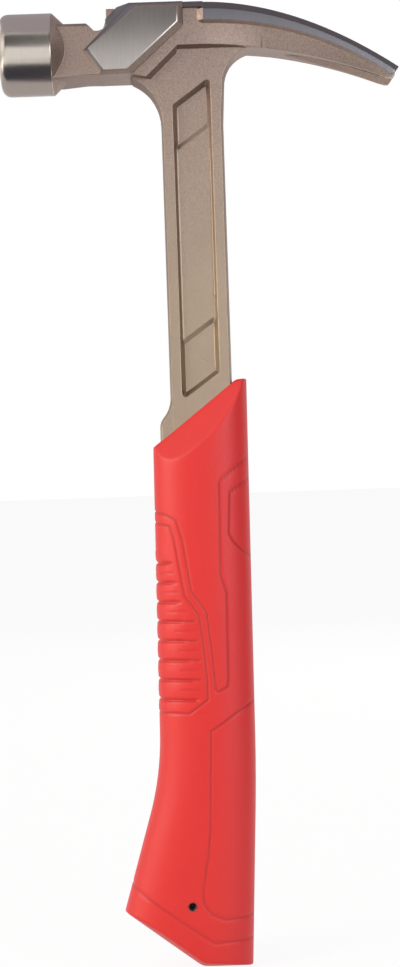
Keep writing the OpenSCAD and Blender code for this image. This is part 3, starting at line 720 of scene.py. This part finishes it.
# Straight cuts across the ribs: (z, x where it ends, share of the full depth)
ribCuts = [
    (147.4, -13.0, 1), (140.4, -11.4, 1), (133.3, -10.2, 1), (126.4, -5.4, 1),
    (119.4, -4.8, 1), (112.4, -3.8, 1), (105.3, -3.6, 1), (98.1, -5.5, 1),
    (143.9, -12.6, 0.4), (136.9, -11.0, 0.4), (129.9, -8.2, 0.4), (122.9, -5.4, 0.4),
    (115.9, -4.4, 0.4), (108.9, -3.8, 0.4), (101.7, -4.2, 0.4),
]


def flareAt(z, s):
    u = np.maximum(0, s["flareZ"] - z)
    return np.where(u < s["flareBlend"], u * u / (2 * s["flareBlend"]), u - s["flareBlend"] / 2)


def leanAt(z, s):
    return s["lean"] * (1 - z / s["topZ"])


def gripFront(z, s):
    return -s["frontX"] - leanAt(z, s) - flareAt(z, s) * tan(radians(s["flareFront"]))


def gripBack(z, s):
    return s["backX"] - leanAt(z, s) * s["backLean"] - flareAt(z, s) * tan(radians(s["flareBack"]))


def bowed(c, power):
    return np.sign(c) * np.abs(c) ** power


# Angles that space the columns evenly round the oval
def sleeveAngles(s):
    fine = np.linspace(0, 2 * pi, s["angleSteps"] + 1)
    x = s["halfDepth"] * bowed(np.cos(fine), s["bowX"])
    y = s["thick"] / 2 * bowed(np.sin(fine), s["bowY"])
    run = np.concatenate([[0], np.cumsum(np.hypot(np.diff(x), np.diff(y)))])
    return np.interp(np.arange(s["columns"]) * run[-1] / s["columns"], run, fine)


def sleeveSide(angle, z, s):
    front, back = gripFront(z, s), gripBack(z, s)
    x = (front + back) / 2 + (back - front) / 2 * bowed(np.cos(angle), s["bowX"])
    return x, s["thick"] / 2 * bowed(np.sin(angle), s["bowY"])


def softMin(a, b, r):
    return (a + b - np.sqrt((a - b) ** 2 + r * r)) / 2


def topHeight(x, y, s):
    turn = radians(s["topAngle"])
    slope = s["facetWidth"] / (s["thick"] / 2 - s["steelThick"] / 2)
    facet = softMin(0 * y, -slope * (np.abs(y) - s["steelThick"] / 2), s["facetBlend"])
    slant = s["topZ"] + ((x - s["peakX"]) * sin(turn) + facet) / cos(turn)
    return softMin(slant, s["topZ"] + 0 * x, s["endBlend"])


def buttHeight(x, y, s):
    turn = radians(s["buttAngle"])
    crown = s["domeR"] - np.sqrt(s["domeR"] ** 2 - y * y)
    slanted = (crown - (x - s["footX"]) * sin(turn)) / cos(turn)
    return -softMin(-crown, -slanted, s["endBlend"])


def lineShare(x, z, points, width):
    near = np.full(x.shape, np.inf)
    for (x0, z0), (x1, z1) in zip(points[:-1], points[1:]):
        dx, dz = x1 - x0, z1 - z0
        t = np.clip(((x - x0) * dx + (z - z0) * dz) / (dx * dx + dz * dz), 0, 1)
        near = np.minimum(near, np.hypot(x - x0 - t * dx, z - z0 - t * dz))
    return np.exp(-((near / width) ** 2))


def ribRelief(x, z, s):
    high = s["ribLow"] + s["ribPitch"] * (s["ribs"] - 1)
    climb = (z - s["ribLow"]) / (high - s["ribLow"])
    reach = s["ribReachLow"] + (s["ribReachHigh"] - s["ribReachLow"]) * climb
    mask = np.clip((-reach - x) / s["ribFade"], 0, 1)
    mask = mask * mask * (3 - 2 * mask)
    phase = (z - s["ribLow"]) / s["ribPitch"]
    beyond = s["ribEndShare"] * s["ribPitch"]
    inside = (z > s["ribLow"] - beyond) & (z < high + beyond)
    away = np.abs(phase - np.round(phase)) * s["ribPitch"]
    groove = s["ribDepth"] * np.clip(1 - (away / (s["ribWidth"] * s["grooveShare"])) ** 2, 0, 1)
    crest = (s["ribPitch"] / 2 - away) / (s["ribPitch"] * s["swellShare"])
    swell = s["ribSwell"] * np.clip(1 - crest ** 2, 0, 1)
    return np.where(inside, groove - swell, 0) * mask


def lineRelief(x, z, s):
    lines = np.zeros(x.shape)
    for points in gripLines.values():
        lines = np.maximum(lines, lineShare(x, z, points, s["lineWidth"]))
    for cutZ, endX, share in ribCuts:
        startX = s["cutFrontX"] if share == 1 else endX - s["cutRun"]
        cut = lineShare(x, z, [(startX, cutZ), (endX, cutZ)], s["lineWidth"])
        lines = np.maximum(lines, share * cut)
    return lines


# Points of the side wall, as rows up the handle, and the share of painted shade each gets along the
# grooves and in the locating hole
def sleeveWall(angle, s):
    top = np.full(angle.shape, s["firstTop"])
    low = np.full(angle.shape, s["firstLow"])
    for turn in range(s["endTurns"]):
        top = topHeight(*sleeveSide(angle, top, s), s)
        low = buttHeight(*sleeveSide(angle, low, s), s)
    plainLow, plainHigh = s["plainRows"]
    rows = np.concatenate([
        np.arange(s["lowRow"], plainLow, s["fineStep"]),
        np.arange(plainLow, plainHigh, s["coarseStep"]),
        np.arange(plainHigh, s["fineTo"], s["fineStep"]),
        np.arange(s["fineTo"], s["topZ"] + s["highRows"], s["coarseStep"]),
    ])
    z = np.clip(rows[:, None], low[None, :], top[None, :])
    a = np.broadcast_to(angle[None, :], z.shape)
    x, y = sleeveSide(a, z, s)
    lines = lineRelief(x, z, s)
    # Outward direction of the oval section
    outX = bowed(np.cos(a), 2 - s["bowX"]) / s["halfDepth"]
    outY = bowed(np.sin(a), 2 - s["bowY"]) / (s["thick"] / 2)
    size = np.hypot(outX, outY)
    outX, outY = outX / size, outY / size
    side = np.where(x < s["frontSide"], 1, np.clip(np.abs(outY) * s["sideBlend"], 0, 1))
    sink = ribRelief(x, z, s) + s["lineDepth"] * lines * side
    # The rows beside the hole are drawn on to its rim, and those inside it sink to its floor
    hole = np.hypot(x - s["holeX"], z - s["holeZ"])
    inHole = hole <= s["holeR"] - s["ringIn"]
    ring = ~inHole & (hole < s["holeR"] + s["ringOut"])
    pull = np.where(ring, s["holeR"] / np.maximum(hole, nearZero), 1)
    x = s["holeX"] + (x - s["holeX"]) * pull
    z = s["holeZ"] + (z - s["holeZ"]) * pull
    x = x - outX * np.where(inHole, 0, sink)
    y = y - outY * np.where(inHole, s["holeDepth"], sink)
    # Full painted shade in the hole and on its rim, and a part of it along the grooves
    return x, y, z, np.where(inHole | ring, 1.0, lines * s["lineShade"])


# Closes an end of the sleeve with rings that run from its edge to a target outline
def addCap(bm, edge, target, height, up, s):
    rings = [edge]
    base = np.array([[v.co.x / mm - shankX, v.co.y / mm] for v in edge])
    for step in range(1, s["capRings"] + 1):
        share = step / s["capRings"]
        spots = base * (1 - share) + target * share
        heights = height(spots[:, 0], spots[:, 1], s)
        points = zip(spots[:, 0], spots[:, 1], heights)
        rings.append([bm.verts.new(((px + shankX) * mm, py * mm, pz * mm)) for px, py, pz in points])
    for lower, upper in zip(rings[:-1], rings[1:]):
        for i in range(len(edge)):
            k = (i + 1) % len(edge)
            face = (lower[i], lower[k], upper[k], upper[i])
            bm.faces.new(face if up else face[::-1])


def besideHole(vert, s):
    return abs(vert.co.z / mm - s["holeZ"]) <= s["holeKeep"] and abs(vert.co.y) >= s["holeSide"] * mm


# Moulded edges at both ends are eased
def easeEnds(bm, s):
    edges = [e for e in bm.edges if e.calc_face_angle(0) > radians(s["easeAngle"])]
    edges = [e for e in edges if not any(besideHole(v, s) for v in e.verts)]
    ends = {v for e in edges for v in e.verts}
    ends = {v for v in ends if v.co.z / mm > s["easeAbove"] or v.co.z / mm < s["easeBelow"]}
    for turn in range(s["easeGrow"]):
        ends |= {e.other_vert(v) for v in list(ends) for e in v.link_edges}
    for turn in range(s["easeTurns"]):
        bmesh.ops.smooth_vert(
            bm, verts=list(ends), factor=s["easeShare"], use_axis_x=True, use_axis_y=True, use_axis_z=True,
        )


# The socket round the tang closes the mesh inside the steel
def addSocket(bm, s):
    rim = [e for e in bm.edges if e.is_boundary]
    for edge in rim:
        edge.smooth = False
    deep = bmesh.ops.extrude_edge_only(bm, edges=rim)["geom"]
    for vert in (g for g in deep if isinstance(g, bmesh.types.BMVert)):
        vert.co.z = s["socketZ"] * mm
    bmesh.ops.holes_fill(bm, edges=[g for g in deep if isinstance(g, bmesh.types.BMEdge)], sides=0)
    bmesh.ops.recalc_face_normals(bm, faces=bm.faces)


def makeSleeve(s):
    angle = sleeveAngles(s)
    x, y, z, cut = sleeveWall(angle, s)
    bm = bmesh.new()
    # Each point holds its share of painted shade, for the grooves and the locating hole
    shade = bm.verts.layers.float.new("cut")
    grid = []
    for row in zip(x, y, z, cut):
        grid.append([])
        for px, py, pz, share in zip(*row):
            vert = bm.verts.new(((px + shankX) * mm, py * mm, pz * mm))
            vert[shade] = float(share)
            grid[-1].append(vert)
    for j in range(len(grid) - 1):
        for i in range(len(angle)):
            k = (i + 1) % len(angle)
            if z[j + 1, i] - z[j, i] + z[j + 1, k] - z[j, k] > nearZero:
                bm.faces.new((grid[j][i], grid[j][k], grid[j + 1][k], grid[j + 1][i]))
    middle, halfX, halfY = s["bore"]
    boreX = middle + halfX * bowed(np.cos(angle), s["boreBow"])
    boreY = halfY * bowed(np.sin(angle), s["boreBow"])
    addCap(bm, grid[-1], np.stack([boreX, boreY], 1), topHeight, True, s)
    heartX = s["heart"][0] + s["heart"][1] * np.cos(angle)
    addCap(bm, grid[0], np.stack([heartX, 0 * angle], 1), buttHeight, False, s)
    bmesh.ops.remove_doubles(bm, verts=bm.verts, dist=s["close"])
    bmesh.ops.dissolve_degenerate(bm, edges=bm.edges, dist=s["close"])
    bm.normal_update()
    easeEnds(bm, s)
    addSocket(bm, s)
    for face in bm.faces:
        face.smooth = True
    mesh = bpy.data.meshes.new("gripSleeve")
    bm.to_mesh(mesh)
    bm.free()
    sleeve = bpy.data.objects.new("gripSleeve", mesh)
    bpy.context.collection.objects.link(sleeve)
    sleeve.data.materials.append(gripRubber(gripSet))
    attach(sleeve, "root")
    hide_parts("grip_sleeve")


gripSet = {
    "red": srgb(207, 30, 22),
    "deep": srgb(196, 24, 22),
    "deepShare": 0.35,
    # Painted light: the back of the grip, towards +x, gets a cooler red that stands in for the cooler
    # light on that side
    "paintedCoolLight": srgb(200, 38, 44),
    "paintedCoolAt": 0.003,
    "paintedCoolBlur": 0.012,
    "paintedCoolShare": 0.5,
    # Painted shade: a darker red that stands in for the shade in the line work's grooves
    "cut": srgb(120, 14, 16),
    "grooveShadeShare": 0.8,
    # Painted shade: near black that stands in for the shade inside the locating hole
    "hole": srgb(14, 12, 14),
    "holeShadeAt": 0.85,
    "holeShadeBlur": 0.2,
    "grain": 1500,
    "grainRough": 0.6,
    "pits": 0.03 * mm,
    "cloud": 28,
    "cloudBlur": 0.6,
    "rough": 0.36,
    "grainRange": 0.16,
    "cloudRange": 0.08,
}


def gripRubber(s):
    f = Finish("gripRubber")
    grain = f.noise(s["grain"], rough=s["grainRough"])
    cloud = f.noise(s["cloud"])
    cut = f.node("ShaderNodeAttribute", {"attribute_name": "cut"}, {}, "Fac")
    colour = f.blend(cloud.above(0.5, s["cloudBlur"]) * s["deepShare"], s["red"], s["deep"])
    # Painted light: a cooler red is painted over the back of the grip
    back = f.axis("X").above(s["paintedCoolAt"], s["paintedCoolBlur"])
    colour = f.blend(back * s["paintedCoolShare"], colour, s["paintedCoolLight"])
    # Painted shade: darker red along the grooves of the line work
    colour = f.blend(cut * s["grooveShadeShare"], colour, s["cut"])
    # Painted shade: the locating hole and its rim turn near black
    colour = f.blend(cut.above(s["holeShadeAt"], s["holeShadeBlur"]), colour, s["hole"])
    return f.finish({
        "Base Color": colour,
        "Roughness": grain * s["grainRange"] + cloud * s["cloudRange"] + s["rough"],
        "Normal": f.bump(grain, s["pits"]),
    })


makeSleeve(sleeveSet)
print("sleeve moulded")

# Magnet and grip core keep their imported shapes

magnetSet = {
    "colour": srgb(205, 205, 210),
    "cloud": 900,
    "cloudRough": 0.6,
    "cloudBlur": 0.5,
    "cloudShare": 0.4,
    "cloudTone": 0.8,
    "rough": 0.14,
    "roughRange": 0.12,
    "roundness": 0.2 * mm,
}

coreSet = {
    "colour": srgb(30, 30, 32),
    "cloud": 1400,
    "cloudRough": 0.6,
    "cloudBlur": 0.5,
    "cloudTone": 1.6,
    "rough": 0.5,
    "roughRange": 0.15,
    "pits": 0.03 * mm,
}


def nickelPlate(s):
    f = Finish("nickelPlate")
    cloud = f.noise(s["cloud"], rough=s["cloudRough"])
    share = cloud.above(0.5, s["cloudBlur"]) * s["cloudShare"]
    return f.finish({
        "Base Color": f.blend(share, s["colour"], toned(s["colour"], s["cloudTone"])),
        "Metallic": 1.0,
        "Roughness": cloud * s["roughRange"] + s["rough"],
        "Normal": f.soften(s["roundness"]),
    })


def corePlastic(s):
    f = Finish("corePlastic")
    cloud = f.noise(s["cloud"], rough=s["cloudRough"])
    share = cloud.above(0.5, s["cloudBlur"])
    return f.finish({
        "Base Color": f.blend(share, s["colour"], toned(s["colour"], s["cloudTone"])),
        "Roughness": cloud * s["roughRange"] + s["rough"],
        "Normal": f.bump(cloud, s["pits"]),
    })


for name, finish in (("nail_set_magnet", nickelPlate(magnetSet)), ("grip_core", corePlastic(coreSet))):
    for slot in nodes[name].material_slots:
        slot.material = finish
print("magnet and core finished")
